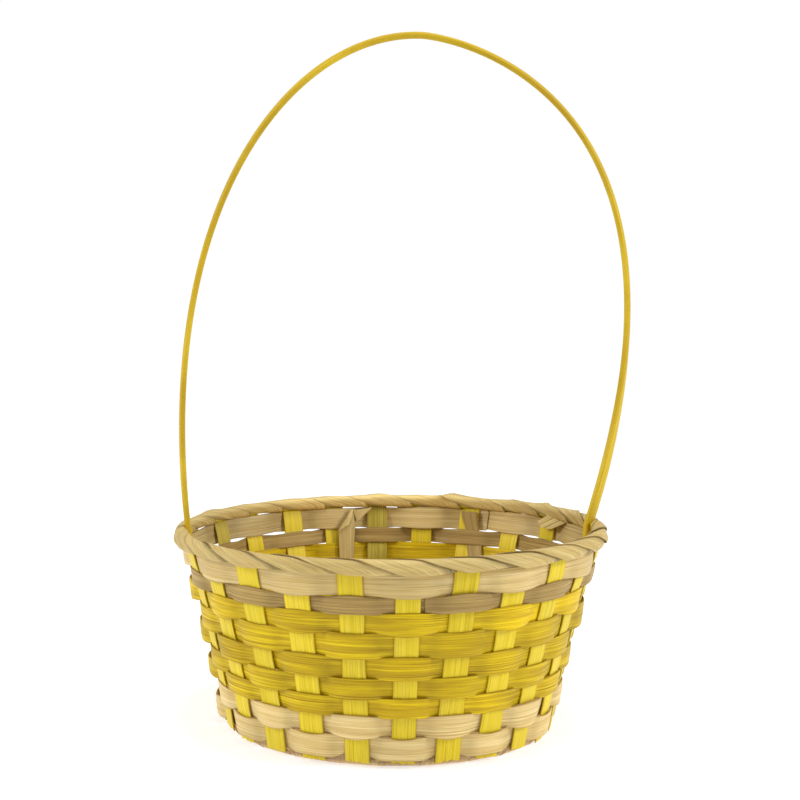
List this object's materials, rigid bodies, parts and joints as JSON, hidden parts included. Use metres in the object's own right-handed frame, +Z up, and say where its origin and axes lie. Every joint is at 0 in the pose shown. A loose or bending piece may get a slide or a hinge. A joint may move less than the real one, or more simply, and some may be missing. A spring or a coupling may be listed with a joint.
{
  "type": "easter basket",
  "caption": "Round woven splint basket with upright yellow stakes, yellow and natural rows, a wound natural rim, a plaited natural base and a high bent handle.",
  "frame": {"origin": "middle of the base, on the floor plane that the plaited base stands on; the axis of the round body is the Z axis", "axes": "+Z up; -Y is the front; the handle's arch stands nearly in the XZ plane, turned 4.5 degrees toward the back on the +X side"},
  "size_m": [0.2621, 0.25, 0.397],
  "materials": {
    "stake_yellow": "satin",
    "weaver_gold": "satin",
    "natural": "satin",
    "natural_grey": "satin",
    "wrap_natural": "satin",
    "base_natural": "matte",
    "handle_yellow": "satin"
  },
  "bodies": {
    "root": {"stake_01": "stake_yellow", "stake_02": "stake_yellow", "stake_03": "stake_yellow", "stake_04": "stake_yellow", "stake_05": "stake_yellow", "stake_06": "stake_yellow", "stake_07": "stake_yellow", "stake_08": "stake_yellow", "stake_09": "stake_yellow", "stake_10": "stake_yellow", "stake_11": "stake_yellow", "stake_12": "stake_yellow", "stake_13": "stake_yellow", "stake_14": "stake_yellow", "stake_15": "stake_yellow", "stake_16": "stake_yellow", "stake_17": "stake_yellow", "stake_18": "stake_yellow", "stake_19": "stake_yellow", "stake_20": "stake_yellow", "stake_21": "stake_yellow", "stake_22": "stake_yellow", "stake_23": "stake_yellow", "stake_24": "stake_yellow", "weaver_1": "natural", "weaver_2": "natural_grey", "weaver_3": "weaver_gold", "weaver_4": "weaver_gold", "weaver_5": "weaver_gold", "weaver_6": "weaver_gold", "weaver_7": "weaver_gold", "weaver_8": "natural", "weaver_9": "natural", "rim_hoop_outer": "stake_yellow", "rim_hoop_inner": "stake_yellow", "rim_wrap_1": "wrap_natural", "rim_wrap_2": "wrap_natural", "base_a1": "base_natural", "base_a2": "base_natural", "base_a3": "base_natural", "base_a4": "base_natural", "base_a5": "base_natural", "base_a6": "base_natural", "base_b1": "base_natural", "base_b2": "base_natural", "base_b3": "base_natural", "base_b4": "base_natural", "base_b5": "base_natural", "base_b6": "base_natural", "handle": "handle_yellow"}
  },
  "joints": []
}
